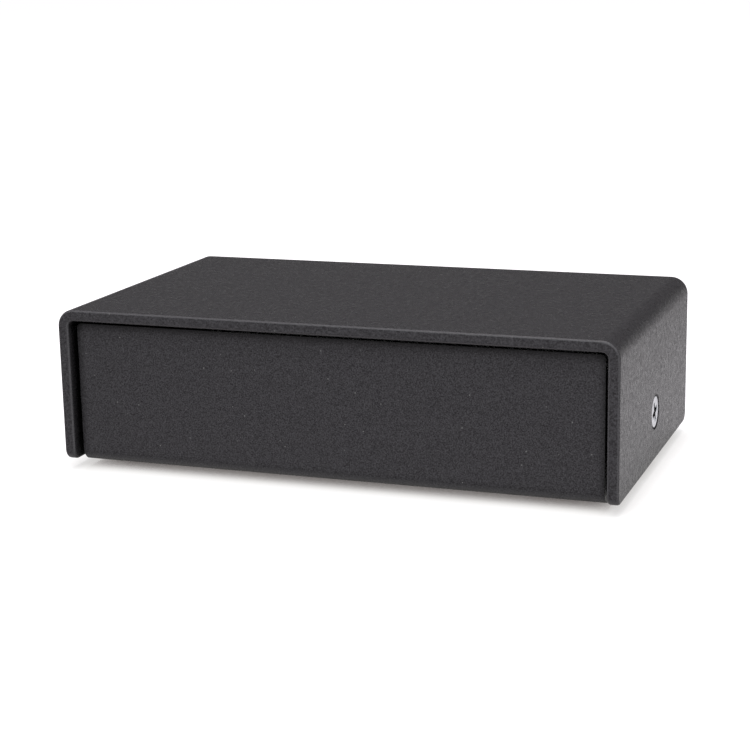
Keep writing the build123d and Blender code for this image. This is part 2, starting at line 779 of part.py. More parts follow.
with BuildPart() as dc_jack_spring:
    with BuildSketch(wall_plane(leaf_rear)):
        with Locations((jack_x, leaf_bottom)):
            Rectangle(jack_leaf_width, jack_leaf_thickness, align=(Align.CENTER, Align.MIN))
    extrude(amount=leaf_rear - leaf_front)
    with BuildSketch(wall_plane(leaf_front + jack_leaf_thickness)):
        with Locations((jack_x, tail_bottom)):
            Rectangle(jack_leaf_width, leaf_top - tail_bottom, align=(Align.CENTER, Align.MIN))
    extrude(amount=jack_leaf_thickness)
dc_jack_spring.part.label = "dc_jack_spring"
export_step(dc_jack_spring.part, "parts/dc_jack_spring.step")

# -------------------------------------------------------------- earth terminal
with BuildPart() as ground_stud:
    with BuildSketch(wall_plane(flange_face)):
        with Locations((ground_x, ground_z)):
            Circle(flange_diameter / 2)
    extrude(amount=flange_thickness)
    with BuildSketch(wall_plane(panel_rear + stud_outside)):
        with Locations((ground_x, ground_z)):
            Circle(stud_thread / 2)
    extrude(amount=stud_outside + stud_inside)
    chamfer(ground_stud.edges().group_by(Axis.Y)[-1], nut_chamfer)
    chamfer(ground_stud.edges().group_by(Axis.Y)[0], nut_chamfer)
ground_stud.part.label = "ground_stud"
export_step(ground_stud.part, "parts/ground_stud.step")

with BuildPart() as ground_washer:
    with BuildSketch(wall_plane(washer_face + washer_thickness)):
        with Locations((ground_x, ground_z)):
            Circle(washer_diameter / 2)
            Circle(stud_hole / 2, mode=Mode.SUBTRACT)
    extrude(amount=washer_thickness)
ground_washer.part.label = "ground_washer"
export_step(ground_washer.part, "parts/ground_washer.step")

with BuildPart() as ground_thumb_nut:
    with BuildSketch(wall_plane(nut_face + nut_collar_height + nut_height)):
        with Locations((ground_x, ground_z)):
            Circle(nut_diameter / 2)
    extrude(amount=nut_height)
    chamfer(ground_thumb_nut.edges(), nut_chamfer)
    with BuildSketch(wall_plane(nut_face + nut_collar_height + nut_height)):
        with Locations((ground_x, ground_z)):
            with PolarLocations(nut_diameter / 2, nut_groove_count):
                Circle(groove_radius)
    extrude(amount=nut_height, mode=Mode.SUBTRACT)
    with BuildSketch(wall_plane(nut_face + nut_collar_height)):
        with Locations((ground_x, ground_z)):
            Circle(nut_collar / 2)
    extrude(amount=nut_collar_height)
    with BuildSketch(wall_plane(nut_face + nut_collar_height + nut_height)):
        with Locations((ground_x, ground_z)):
            Circle(nut_bore / 2)
    extrude(amount=nut_collar_height + nut_height, mode=Mode.SUBTRACT)
ground_thumb_nut.part.label = "ground_thumb_nut"
export_step(ground_thumb_nut.part, "parts/ground_thumb_nut.step")

with BuildPart() as ground_lug:
    with BuildSketch(wall_plane(rear_inside)):
        with Locations((ground_x, ground_z)):
            Circle(lug_diameter / 2)
        with Locations((ground_x, lug_z - lug_barrel / 2)):
            Rectangle(lug_tail_width, ground_z - lug_z + lug_barrel / 2, align=(Align.CENTER, Align.MIN))
        with Locations((ground_x, ground_z)):
            Circle(stud_hole / 2, mode=Mode.SUBTRACT)
    extrude(amount=lug_thickness)
    with BuildSketch(wall_plane(rear_inside - lug_thickness)):
        with Locations((ground_x, lug_z)):
            Circle(lug_barrel / 2)
            Circle(wire_diameter / 2 + part_gap, mode=Mode.SUBTRACT)
    extrude(amount=lug_barrel_length)
ground_lug.part.label = "ground_lug"
export_step(ground_lug.part, "parts/ground_lug.step")

with BuildPart() as ground_lock_nut:
    with BuildSketch(wall_plane(rear_inside - lug_thickness)):
        with Locations((ground_x, ground_z)):
            RegularPolygon(lock_nut_flats / 2, 6, major_radius=False, rotation=30)
            Circle(nut_bore / 2, mode=Mode.SUBTRACT)
    extrude(amount=lock_nut_height)
ground_lock_nut.part.label = "ground_lock_nut"
export_step(ground_lock_nut.part, "parts/ground_lock_nut.step")

with BuildPart() as ground_wire:
    with BuildLine():
        wire_path = FilletPolyline(
            (ground_x, rear_inside - lug_thickness, lug_z),
            (ground_x, wire_y, lug_z),
            (ground_x, wire_y, tail_bottom),
            radius=wire_bend,
        )
    with BuildSketch(Plane(origin=wire_path @ 0, z_dir=wire_path % 0)):
        Circle(wire_diameter / 2)
    sweep()
ground_wire.part.label = "ground_wire"
export_step(ground_wire.part, "parts/ground_wire.step")

# ---------------------------------------------------------------- gain switch
with BuildPart() as switch_frame:
    with BuildSketch(wall_plane(rear_inside)):
        with Locations((switch_x, switch_z)):
            Rectangle(switch_width, switch_height)
    extrude(amount=switch_depth)
    with BuildSketch(wall_plane(rear_inside - switch_wall)):
        with Locations((switch_x, switch_z)):
            Rectangle(switch_width - 2 * switch_wall, switch_height - 2 * switch_wall)
    extrude(amount=switch_depth - switch_wall, mode=Mode.SUBTRACT)
    with BuildSketch(wall_plane(rear_inside)):
        with Locations((switch_x, switch_z)):
            Rectangle(slot_width, slot_height)
    extrude(amount=switch_wall, mode=Mode.SUBTRACT)
switch_frame.part.label = "switch_frame"
export_step(switch_frame.part, "parts/switch_frame.step")

with BuildPart() as switch_base:
    with BuildSketch(wall_plane(switch_back + switch_base_depth)):
        with Locations((switch_x, switch_z)):
            Rectangle(
                switch_width - 2 * switch_wall - 2 * part_gap,
                switch_height - 2 * switch_wall - 2 * part_gap,
            )
    extrude(amount=switch_base_depth)
switch_base.part.label = "switch_base"
export_step(switch_base.part, "parts/switch_base.step")

with BuildPart() as switch_slider:
    carriage_face = rear_inside - switch_wall - slide_gap
    with BuildSketch(wall_plane(carriage_face)):
        with Locations((slide_rest, switch_z)):
            Rectangle(carriage_width, switch_height - 2 * switch_wall - 2 * slide_gap)
    extrude(amount=carriage_depth)
    tip_face = panel_rear + tip_proud
    with BuildSketch(wall_plane(tip_face)):
        with Locations((slide_rest, switch_z)):
            Rectangle(tip_width, tip_height)
    extrude(amount=tip_face - carriage_face)
    chamfer(switch_slider.faces().sort_by(Axis.Y)[-1].edges(), slide_gap)
    with BuildSketch(wall_plane(tip_face)):
        with Locations((slide_rest, switch_z)):
            with GridLocations(tip_width / 4, 0, 3, 1):
                Rectangle(tip_groove, tip_height)
    extrude(amount=tip_groove, mode=Mode.SUBTRACT)
switch_slider.part.label = "switch_slider"
export_step(switch_slider.part, "parts/switch_slider.step")

with BuildPart() as switch_pins:
    for column in switch_columns:
        for row_z, row_y in switch_rows:
            pin_start = row_y - switch_pin / 2
            with BuildSketch(wall_plane(switch_back)):
                with Locations((column, row_z)):
                    Rectangle(switch_pin, switch_pin)
            extrude(amount=switch_back - pin_start)
            with BuildSketch(wall_plane(pin_start + switch_pin)):
                with Locations((column, tail_bottom)):
                    Rectangle(switch_pin, row_z - tail_bottom, align=(Align.CENTER, Align.MIN))
            extrude(amount=switch_pin)
switch_pins.part.label = "switch_pins"
export_step(switch_pins.part, "parts/switch_pins.step")

# ---------------------------------------------------------- parts on the board
amp_bottom = board_top + amp_rise
for name, amp_x in (("left", amp_left), ("right", amp_right)):
    with BuildPart() as op_amp:
        with BuildSketch(Plane.XY.offset(amp_bottom)):
            with Locations((amp_x, amp_y)):
                Rectangle(amp_length, amp_width)
            with Locations((amp_x - amp_length / 2, amp_y)):
                Circle(amp_notch, mode=Mode.SUBTRACT)
        extrude(amount=amp_height)
        fillet(op_amp.edges().filter_by(Axis.X).group_by(Axis.Z)[-1], film_round)
    op_amp.part.label = f"op_amp_{name}"
    export_step(op_amp.part, f"parts/op_amp_{name}.step")

with BuildPart() as op_amp_legs:
    shoulder_z = amp_bottom + amp_height / 2
    for amp_x in (amp_left, amp_right):
        for side in (-1, 1):
            leg_y = amp_y + side * leg_pair_width / 2
            body_y = amp_y + side * amp_width / 2
            with BuildSketch(Plane.XY.offset(shoulder_z)):
                with Locations((amp_x, (leg_y + body_y) / 2)):
                    with GridLocations(leg_pitch, 0, 4, 1):
                        Rectangle(leg_width, abs(leg_y - body_y))
            extrude(amount=-leg_thickness)
            with BuildSketch(Plane.XY.offset(shoulder_z)):
                with Locations((amp_x, leg_y)):
                    with GridLocations(leg_pitch, 0, 4, 1):
                        Rectangle(leg_width, leg_thickness)
            extrude(amount=tail_bottom - shoulder_z)
op_amp_legs.part.label = "op_amp_legs"
export_step(op_amp_legs.part, "parts/op_amp_legs.step")

with BuildPart() as film_capacitors:
    with BuildSketch(Plane.XY.offset(board_top)):
        for film_x in (film_left, film_right):
            with Locations((film_x, amp_y)):
                with GridLocations(film_width + film_gap, 0, film_count, 1):
                    Rectangle(film_width, film_length)
    extrude(amount=film_height)
    fillet(film_capacitors.edges().group_by(Axis.Z)[-1], film_round)
film_capacitors.part.label = "film_capacitors"
export_step(film_capacitors.part, "parts/film_capacitors.step")

with BuildPart() as small_capacitors:
    with BuildSketch(Plane.XY.offset(board_top)):
        with Locations([(column, can_y) for column in can_columns]):
            Circle(can_diameter / 2)
    extrude(amount=can_height)
    fillet(small_capacitors.edges().group_by(Axis.Z)[-1], can_crimp)
small_capacitors.part.label = "small_capacitors"
export_step(small_capacitors.part, "parts/small_capacitors.step")

for name, column in (("left", reservoir_left), ("right", reservoir_right)):
    with BuildPart() as reservoir:
        with BuildSketch(Plane.XY.offset(board_top)):
            with Locations((column, amp_y)):
                Circle(reservoir_diameter / 2)
        extrude(amount=reservoir_height)
        fillet(reservoir.edges().group_by(Axis.Z)[-1], can_crimp)
    reservoir.part.label = f"reservoir_capacitor_{name}"
    export_step(reservoir.part, f"parts/reservoir_capacitor_{name}.step")

resistor_z = board_top + axial_gap + resistor_diameter / 2
with BuildPart() as resistors:
    with BuildSketch(wall_plane(axial_y + resistor_length / 2)):
        with Locations([(column, resistor_z) for column in resistor_columns]):
            Circle(resistor_diameter / 2)
    extrude(amount=resistor_length)
    fillet(resistors.edges().filter_by(GeomType.CIRCLE), film_round)
resistors.part.label = "resistors"
export_step(resistors.part, "parts/resistors.step")

diode_z = board_top + axial_gap + diode_diameter / 2
with BuildPart() as rectifier_diode:
    with BuildSketch(wall_plane(axial_y + diode_length / 2)):
        with Locations((diode_x, diode_z)):
            Circle(diode_diameter / 2)
    extrude(amount=diode_length)
rectifier_diode.part.label = "rectifier_diode"
export_step(rectifier_diode.part, "parts/rectifier_diode.step")

axial_bodies = [(column, resistor_z, resistor_length) for column in resistor_columns]
axial_bodies.append((diode_x, diode_z, diode_length))
with BuildPart() as axial_leads:
    for column, middle_z, body_length in axial_bodies:
        for end in (-1, 1):
            body_end = axial_y + end * body_length / 2
            bend_y = axial_y + end * can_leg_width / 2
            with BuildSketch(Plane.YZ.offset(column - lead / 2)):
                with BuildLine():
                    Polyline(
                        (body_end, middle_z + lead / 2),
                        (bend_y + end * lead / 2, middle_z + lead / 2),
                        (bend_y + end * lead / 2, tail_bottom),
                        (bend_y - end * lead / 2, tail_bottom),
                        (bend_y - end * lead / 2, middle_z - lead / 2),
                        (body_end, middle_z - lead / 2),
                        close=True,
                    )
                make_face()
            extrude(amount=lead)
axial_leads.part.label = "axial_leads"
export_step(axial_leads.part, "parts/axial_leads.step")

regulator_bottom = board_top + regulator_rise
with BuildPart() as regulator_body:
    with BuildSketch(Plane.XY.offset(regulator_bottom)):
        with Locations((regulator_x, can_y)):
            Rectangle(regulator_width, regulator_thickness)
    extrude(amount=regulator_height)
regulator_body.part.label = "regulator_body"
export_step(regulator_body.part, "parts/regulator_body.step")

with BuildPart() as regulator_metal:
    with BuildSketch(wall_plane(can_y + regulator_thickness / 2 + regulator_tab)):
        with Locations((regulator_x, regulator_bottom)):
            Rectangle(regulator_width, regulator_tab_height, align=(Align.CENTER, Align.MIN))
        with Locations((regulator_x, regulator_bottom + regulator_tab_height - regulator_hole)):
            Circle(regulator_hole / 2, mode=Mode.SUBTRACT)
    extrude(amount=regulator_tab)
    with BuildSketch(Plane.XY.offset(regulator_bottom)):
        with Locations((regulator_x, can_y)):
            with GridLocations(leg_pitch, 0, 3, 1):
                Rectangle(leg_width, leg_thickness)
    extrude(amount=tail_bottom - regulator_bottom)
regulator_metal.part.label = "regulator_metal"
export_step(regulator_metal.part, "parts/regulator_metal.step")
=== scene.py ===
# %% [markdown]
# # A phono preamp in a folded steel case
#
# A phono preamp is a small desk-top box that lifts a turntable's faint signal to the
# level that an amplifier expects.  The frame brings every rigid part of it, made in
# CAD: the cover, the tray with its panels, the sockets, and the circuit board inside.
# This lesson dresses that frame.  It sets the camera and the light, writes a material
# for each real finish, and models by hand what CAD left plain: the thread of the earth
# terminal and the printed words on the rear panel.

# %% Load the frame
import json
import math

import bpy
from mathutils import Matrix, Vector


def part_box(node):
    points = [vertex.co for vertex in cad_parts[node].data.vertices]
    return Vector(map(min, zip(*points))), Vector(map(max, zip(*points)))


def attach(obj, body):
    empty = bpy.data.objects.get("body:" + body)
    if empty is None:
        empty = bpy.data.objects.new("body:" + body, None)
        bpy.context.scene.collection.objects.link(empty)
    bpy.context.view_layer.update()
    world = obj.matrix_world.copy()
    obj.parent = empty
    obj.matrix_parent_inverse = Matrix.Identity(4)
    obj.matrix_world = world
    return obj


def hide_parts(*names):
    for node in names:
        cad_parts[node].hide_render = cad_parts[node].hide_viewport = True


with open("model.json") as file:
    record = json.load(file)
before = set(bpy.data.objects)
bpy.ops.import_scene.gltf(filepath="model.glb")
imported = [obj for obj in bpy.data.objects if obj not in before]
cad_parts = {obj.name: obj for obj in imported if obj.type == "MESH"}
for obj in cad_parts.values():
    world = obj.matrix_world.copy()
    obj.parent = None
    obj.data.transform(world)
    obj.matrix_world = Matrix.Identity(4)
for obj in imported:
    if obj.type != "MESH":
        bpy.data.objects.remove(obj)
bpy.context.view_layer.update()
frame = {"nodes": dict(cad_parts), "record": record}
nodes = frame["nodes"]
MM = 0.001

# %% [markdown]
# ## Camera
#
# The box is seen from the front and a little to the right, from just above.  A long
# lens keeps its sides almost parallel, as a product picture does.  The camera is put in
# place by its three angles, because the way it looks matters more than what it aims at.

# %% Place the camera
CAMERA_PLACE = (114.24, -318.05, 94.69)  # mm
CAMERA_TURN = (76.5636, 1.0424, 19.945)  # degrees
CAMERA_LENS = 87.476  # mm, on a sensor 36 mm wide

bpy.ops.object.select_all(action="DESELECT")
bpy.ops.object.camera_add(
    location=[value * MM for value in CAMERA_PLACE],
    rotation=[math.radians(angle) for angle in CAMERA_TURN],
)
camera = bpy.context.object
camera.name = "studio_camera"
camera.data.sensor_width = 36.0
camera.data.lens = CAMERA_LENS
camera.data.clip_start = 0.01
bpy.context.scene.camera = camera
bpy.context.scene.view_settings.view_transform = "Standard"
print("Camera at", CAMERA_PLACE, "mm with a lens of", CAMERA_LENS, "mm")

# %% [markdown]
# ## Colours and nodes
#
# Colours are written as they look on a screen, in sRGB hex, and turned to the linear
# values that Blender mixes light in.  One helper adds any node: a socket is given a
# value or is linked to another node's output.

# %% Helpers for colours and nodes
def linear(hex_colour):
    """An sRGB hex colour as linear red, green, blue and alpha."""
    channels = [int(hex_colour[start : start + 2], 16) / 255 for start in (1, 3, 5)]
    return [c / 12.92 if c <= 0.04045 else ((c + 0.055) / 1.055) ** 2.4 for c in channels] + [1.0]


def add_node(tree, kind, sockets=None, **settings):
    """Adds a node, applies its settings, and sets or links its input sockets."""
    node = tree.nodes.new("ShaderNode" + kind)
    for name, value in settings.items():
        setattr(node, name, value)
    for name, value in (sockets or {}).items():
        if isinstance(value, bpy.types.NodeSocket):
            tree.links.new(value, node.inputs[name])
        else:
            node.inputs[name].default_value = value
    return node


def new_material(name, colour, roughness, metallic=0.0):
    """A node material with its plain values set on the shader, and the object's coordinates."""
    material = bpy.data.materials.new(name)
    material.use_nodes = True
    material.diffuse_color = linear(colour)
    tree = material.node_tree
    shader = tree.nodes["Principled BSDF"]
    shader.inputs["Base Color"].default_value = linear(colour)
    shader.inputs["Roughness"].default_value = roughness
    shader.inputs["Metallic"].default_value = metallic
    place = add_node(tree, "TexCoord").outputs["Object"]
    return material, tree, shader, place


# %% [markdown]
# ## Light, floor and background
#
# Black powder coat shows little of its own colour: what shapes the box is the white
# paper that it mirrors softly at low angles.  So the floor glows white for the camera and
# more softly in reflections, and the sky is white at the horizon, where the paper ends,
# and falls to a dim grey overhead.  For soft light the world is dim all round, so that
# corners and gaps stay dark, and two lamps light the top and the front.

# %% World
SKY_FILL = 0.05
SKY_DIM = 0.11  # overhead, in reflections
HORIZON = 0.06  # sine of the elevation at which the white has faded

world = bpy.data.worlds.new("studio_world")
bpy.context.scene.world = world
world.use_nodes = True
sky = world.node_tree
sky.nodes.clear()


def sharp_rays(tree):
    """One for rays from the camera and through glass, and apart from it, one for reflections."""
    path = add_node(tree, "LightPath")
    seen = add_node(
        tree,
        "Math",
        {0: path.outputs["Is Camera Ray"], 1: path.outputs["Is Transmission Ray"]},
        operation="MAXIMUM",
    )
    return seen.outputs[0], path.outputs["Is Glossy Ray"]


seen, mirrored = sharp_rays(sky)
height = add_node(sky, "SeparateXYZ", {0: add_node(sky, "TexCoord").outputs["Generated"]})
paper_edge = add_node(
    sky,
    "MapRange",
    {"Value": height.outputs["Z"], "From Max": HORIZON, "To Min": 1.0, "To Max": SKY_DIM},
    interpolation_type="SMOOTHSTEP",
)
reflected = add_node(sky, "Math", {0: mirrored, 1: paper_edge.outputs[0]}, operation="MULTIPLY")
bright = add_node(sky, "Math", {0: seen, 1: reflected.outputs[0]}, operation="MAXIMUM")
strength = add_node(sky, "Math", {0: bright.outputs[0], 1: SKY_FILL}, operation="MAXIMUM")
backdrop = add_node(sky, "Background", {"Color": linear("#FFFFFF"), "Strength": strength.outputs[0]})
add_node(sky, "OutputWorld", {"Surface": backdrop.outputs[0]})
print("Sky fill", SKY_FILL, "and", SKY_DIM, "overhead in reflections")

# %% Lamps
def add_lamp(name, place, aim, size, power, colour):
    """A square area lamp at a place, turned towards a point, with its size, all in millimetres."""
    bpy.ops.object.light_add(type="AREA", location=[value * MM for value in place])
    lamp = bpy.context.object
    lamp.name = name
    lamp.data.shape = "SQUARE"
    lamp.data.size = size * MM
    lamp.data.energy = power
    lamp.data.color = linear(colour)[:3]
    away = [p - a for p, a in zip(place, aim)]
    flat = math.hypot(away[0], away[1])
    lamp.rotation_euler = (math.atan2(flat, away[2]), 0.0, math.atan2(away[0], -away[1]))
    print("Lamp", name, "at", place, "mm,", power, "W")


add_lamp("top_lamp", (0, 0, 900), (0, 0, 15), 400, 3.7, "#FFF6F6")
add_lamp("front_lamp", (100, -620, 660), (0, 0, 15), 800, 9.6, "#FAFFFF")

# %% [markdown]
# The paper has two jobs.  Lit by the lamps, it throws light back on the box.  For the
# camera and for reflections it also glows, so that it is white to the horizon; in
# reflections the glow is strongest in a pool before the case and weaker far off.  It
# fades where something stands close over the paper, which an Ambient Occlusion node
# finds out by itself: a ramp turns the share of open sky into shades, from the dark warm
# line under the case to the white of the open paper.

# %% Floor
FLOOR_SIZE = 6000.0  # mm
SHADE_REACH = 8.0  # mm
SHADES = (  # by the share of open sky
    (0.02, "#3C3433"),
    (0.06, "#807C7A"),
    (0.12, "#B4B1B0"),
    (0.3, "#CECCCB"),
    (0.5, "#D8D7D7"),
    (0.75, "#E8E7E8"),
    (0.93, "#FDFBFF"),
)
PAPER = "#B4B2B0"
POOL = (0.775, 0.355)  # reflected glow, close by and far off
POOL_MIDDLE = (0.0, -60.0)  # mm
POOL_REACH = (60.0, 330.0)

bpy.ops.mesh.primitive_plane_add(size=FLOOR_SIZE * MM, location=(0, 0, 0))
floor = bpy.context.object
floor.name = "studio_floor"
paper, tree, shader, place = new_material("white_studio_paper", PAPER, 0.9)
shader.inputs["Specular IOR Level"].default_value = 0.1
seen, mirrored = sharp_rays(tree)
open_sky = add_node(tree, "AmbientOcclusion", {"Distance": SHADE_REACH * MM}, samples=16)
shaded = add_node(tree, "ValToRGB", {"Fac": open_sky.outputs["AO"]})
stops = shaded.color_ramp.elements
for index, (share, hex_colour) in enumerate(SHADES):
    stop = stops[index] if index < 2 else stops.new(share)
    stop.position = share
    stop.color = linear(hex_colour)
# Painted shadow: the same ramp darkens the paper's own colour as well as its glow.
shaded_paper = add_node(
    tree,
    "MixRGB",
    {"Fac": 1.0, "Color1": linear(PAPER), "Color2": shaded.outputs["Color"]},
    blend_type="MULTIPLY",
)
tree.links.new(shaded_paper.outputs[0], shader.inputs["Base Color"])
tree.links.new(shaded.outputs["Color"], shader.inputs["Emission Color"])
pool_middle = [value * MM for value in POOL_MIDDLE] + [0.0]
distance = add_node(tree, "VectorMath", {0: place, 1: pool_middle}, operation="DISTANCE")
pool = add_node(
    tree,
    "MapRange",
    {
        "Value": distance.outputs["Value"],
        "From Min": POOL_REACH[0] * MM,
        "From Max": POOL_REACH[1] * MM,
        "To Min": POOL[0],
        "To Max": POOL[1],
    },
    interpolation_type="SMOOTHSTEP",
)
soft_glow = add_node(tree, "Math", {0: mirrored, 1: pool.outputs[0]}, operation="MULTIPLY")
glow = add_node(tree, "Math", {0: seen, 1: soft_glow.outputs[0]}, operation="MAXIMUM")
tree.links.new(glow.outputs[0], shader.inputs["Emission Strength"])
floor.data.materials.append(paper)

# %% [markdown]
# ## Black powder coat
#
# The cover and the tray are folded steel with a fine-texture polyester powder coat.
# The powder melts into a skin with a close, pebbly grain about a fifth of a millimetre
# across.  Its pebbles are satin, not matt, so a face that is seen at a low angle turns
# grey and sparkles with the paper around it, while a face that looks at the camera stays
# black.  The grain is both bump and a change of tone, because crevices hold the light
# back, and tiny pale specks are dust caught on the rough skin.
#
# The rounded edges of the sheet are painted paler, a painted highlight where light
# catches them, and show as narrow light lines.  On those edges the surface turns between
# the front and another side, which the Y part of its own normal tells: squared, and
# multiplied by what it leaves of one, it is largest half way round.
#
# In inside corners, as round the recessed panels, the coat's colour is darkened to near
# black as painted shade.  An Ambient Occlusion node finds those corners.

# %% Powder coat
GRAIN = 0.24  # mm
PEBBLE = 0.7
SPECK_CELL = 2.6
EDGE_HIGHLIGHT = 0.2
EDGE_TURN = (0.06, 0.25)  # none, and half way round
CORNER_REACH = 2.4  # mm
CORNER_OPEN = (0.58, 0.95)  # share of open sky in a deep corner and on a bare face
TONE_SPREAD = (0.32, 0.68)  # of the grain
SHINE_SPREAD = (0.35, 0.65)  # of the pebbles
COAT_ROUGHNESS = (0.2, 0.42)

powder_coat, tree, shader, place = new_material("fine_texture_powder_coat", "#333134", 0.3)
shader.inputs["Specular IOR Level"].default_value = 0.1
grain = add_node(
    tree, "TexNoise", {"Vector": place, "Scale": 1 / (GRAIN * MM), "Detail": 2.0, "Roughness": 0.6}
)
pebble = add_node(
    tree, "TexNoise", {"Vector": place, "Scale": 1 / (PEBBLE * MM), "Detail": 3.0, "Roughness": 0.8}
)
tone = add_node(
    tree,
    "MapRange",
    {"Value": grain.outputs["Fac"], "From Min": TONE_SPREAD[0], "From Max": TONE_SPREAD[1]},
)
coat_colour = add_node(
    tree, "MixRGB", {"Fac": tone.outputs[0], "Color1": linear("#211F21"), "Color2": linear("#474548")}
)
speck = add_node(tree, "TexVoronoi", {"Vector": place, "Scale": 1 / (SPECK_CELL * MM), "Randomness": 1.0})
dust = add_node(
    tree,
    "MapRange",
    {"Value": speck.outputs["Distance"], "From Min": 0.03, "From Max": 0.06, "To Min": 0.5, "To Max": 0.0},
)
dusty = add_node(
    tree, "MixRGB", {"Fac": dust.outputs[0], "Color1": coat_colour.outputs[0], "Color2": linear("#8E8C8B")}
)
surface_normal = add_node(tree, "TexCoord").outputs["Normal"]
facing = add_node(tree, "SeparateXYZ", {0: surface_normal}).outputs["Y"]
turned = add_node(tree, "Math", {0: facing, 1: facing}, operation="MULTIPLY")
left = add_node(tree, "Math", {0: 1.0, 1: turned.outputs[0]}, operation="SUBTRACT")
half_way = add_node(tree, "Math", {0: turned.outputs[0], 1: left.outputs[0]}, operation="MULTIPLY")
edge = add_node(
    tree,
    "MapRange",
    {
        "Value": half_way.outputs[0],
        "From Min": EDGE_TURN[0],
        "From Max": EDGE_TURN[1],
        "To Max": EDGE_HIGHLIGHT,
    },
)
# Painted highlight: the rounded front and rear edges are mixed towards pale grey.
highlighted_edge = add_node(
    tree, "MixRGB", {"Fac": edge.outputs[0], "Color1": dusty.outputs[0], "Color2": linear("#8A888B")}
)
# Painted shade: the coat's colour is darkened towards near black in inside corners.
corner = add_node(tree, "AmbientOcclusion", {"Distance": CORNER_REACH * MM}, samples=8)
corner_shade = add_node(
    tree,
    "MapRange",
    {
        "Value": corner.outputs["AO"],
        "From Min": CORNER_OPEN[0],
        "From Max": CORNER_OPEN[1],
        "To Min": 1.0,
        "To Max": 0.0,
    },
)
painted_corner_shade = add_node(
    tree, "MixRGB", {"Fac": corner_shade.outputs[0], "Color1": highlighted_edge.outputs[0], "Color2": linear("#080808")}
)
tree.links.new(painted_corner_shade.outputs[0], shader.inputs["Base Color"])
skin = add_node(
    tree,
    "Math",
    {0: pebble.outputs["Fac"], 1: 0.5, 2: grain.outputs["Fac"]},
    operation="MULTIPLY_ADD",
)
bump = add_node(tree, "Bump", {"Height": skin.outputs[0], "Strength": 0.6, "Distance": 0.06 * MM})
tree.links.new(bump.outputs[0], shader.inputs["Normal"])
shine = add_node(
    tree,
    "MapRange",
    {
        "Value": pebble.outputs["Fac"],
        "From Min": SHINE_SPREAD[0],
        "From Max": SHINE_SPREAD[1],
        "To Min": COAT_ROUGHNESS[0],
        "To Max": COAT_ROUGHNESS[1],
    },
)
tree.links.new(shine.outputs[0], shader.inputs["Roughness"])

# %% [markdown]
# ## Plated metals
#
# The screws and standoffs are zinc-plated steel, which is bluish and a little cloudy.
# The sockets and the earth terminal are nickel on brass, warmer and brighter, with fine
# turning lines round them.  Contacts and leads are tinned copper, dull and soft.

# %% Zinc, nickel and tin
def plated_metal(name, colour, cloudy_colour, roughness, cloud):
    """A bare plated metal with clouding of a given size in millimetres."""
    material, tree, shader, place = new_material(name, colour, roughness, metallic=1.0)
    cloudy = add_node(tree, "TexNoise", {"Vector": place, "Scale": 1 / (cloud * MM), "Detail": 4.0})
    mixed = add_node(
        tree,
        "MixRGB",
        {"Fac": cloudy.outputs["Fac"], "Color1": linear(colour), "Color2": linear(cloudy_colour)},
    )
    tree.links.new(mixed.outputs[0], shader.inputs["Base Color"])
    spread = add_node(
        tree,
        "MapRange",
        {"Value": cloudy.outputs["Fac"], "To Min": roughness * 0.8, "To Max": roughness * 1.25},
    )
    tree.links.new(spread.outputs[0], shader.inputs["Roughness"])
    scratch = add_node(
        tree, "TexNoise", {"Vector": place, "Scale": 1 / (cloud * 0.12 * MM), "Detail": 2.0}
    )
    bump = add_node(
        tree, "Bump", {"Height": scratch.outputs["Fac"], "Strength": 0.12, "Distance": 0.01 * MM}
    )
    tree.links.new(bump.outputs[0], shader.inputs["Normal"])
    return material


zinc_plate = plated_metal("bright_zinc_plate", "#C9CCD0", "#B2B6BC", 0.34, 1.2)
nickel_plate = plated_metal("nickel_plated_brass", "#D8D2C6", "#C8C1B4", 0.2, 2.0)
tinned_copper = plated_metal("tinned_copper", "#CDCAC3", "#B5B2AC", 0.38, 0.8)

# %% [markdown]
# ## Plastics, rubber and board
#
# Moulded plastic takes the fine spark-eroded texture of its tool.  The insulators are
# white on the left channels and red on the right ones.  The board is glass-fibre
# laminate under a green solder mask, through which the copper tracks show paler.

# %% Plastics and rubber
def moulded_plastic(name, colour, roughness, texture, depth=0.01):
    """A moulded plastic whose tool texture has a given size and depth in millimetres."""
    material, tree, shader, place = new_material(name, colour, roughness)
    tool = add_node(tree, "TexNoise", {"Vector": place, "Scale": 1 / (texture * MM), "Detail": 3.0})
    slow = add_node(tree, "TexNoise", {"Vector": place, "Scale": 1 / (texture * 9 * MM), "Detail": 1.0})
    tint = add_node(
        tree, "HueSaturation", {"Color": linear(colour), "Value": 1.0, "Fac": 1.0}
    )
    value = add_node(
        tree, "MapRange", {"Value": slow.outputs["Fac"], "To Min": 0.88, "To Max": 1.12}
    )
    tree.links.new(value.outputs[0], tint.inputs["Value"])
    tree.links.new(tint.outputs[0], shader.inputs["Base Color"])
    bump = add_node(tree, "Bump", {"Height": tool.outputs["Fac"], "Strength": 0.4, "Distance": depth * MM})
    tree.links.new(bump.outputs[0], shader.inputs["Normal"])
    return material


black_nylon = moulded_plastic("moulded_black_nylon", "#1E1E20", 0.42, 0.3)
white_polyacetal = moulded_plastic("white_polyacetal", "#E4E2DA", 0.36, 0.4)
red_polyacetal = moulded_plastic("red_polyacetal", "#B51E1C", 0.36, 0.4)
chip_epoxy = moulded_plastic("chip_moulding_epoxy", "#26262A", 0.55, 0.25, 0.02)
phenolic = moulded_plastic("phenolic_paper_laminate", "#7A4E2A", 0.6, 0.5)
film_epoxy = moulded_plastic("red_epoxy_film_box", "#A32620", 0.3, 0.6)
wire_vinyl = moulded_plastic("green_vinyl_insulation", "#2C6B34", 0.4, 0.5)
foot_rubber = moulded_plastic("black_foot_rubber", "#1B1B1C", 0.82, 0.22, 0.03)
sleeve_film = moulded_plastic("shrink_sleeve_film", "#1C2240", 0.28, 0.8)
label_ink = moulded_plastic("white_screen_print_ink", "#D6D5D1", 0.6, 0.15)

# %% Circuit board
TRACK_CELL = 3.2  # mm

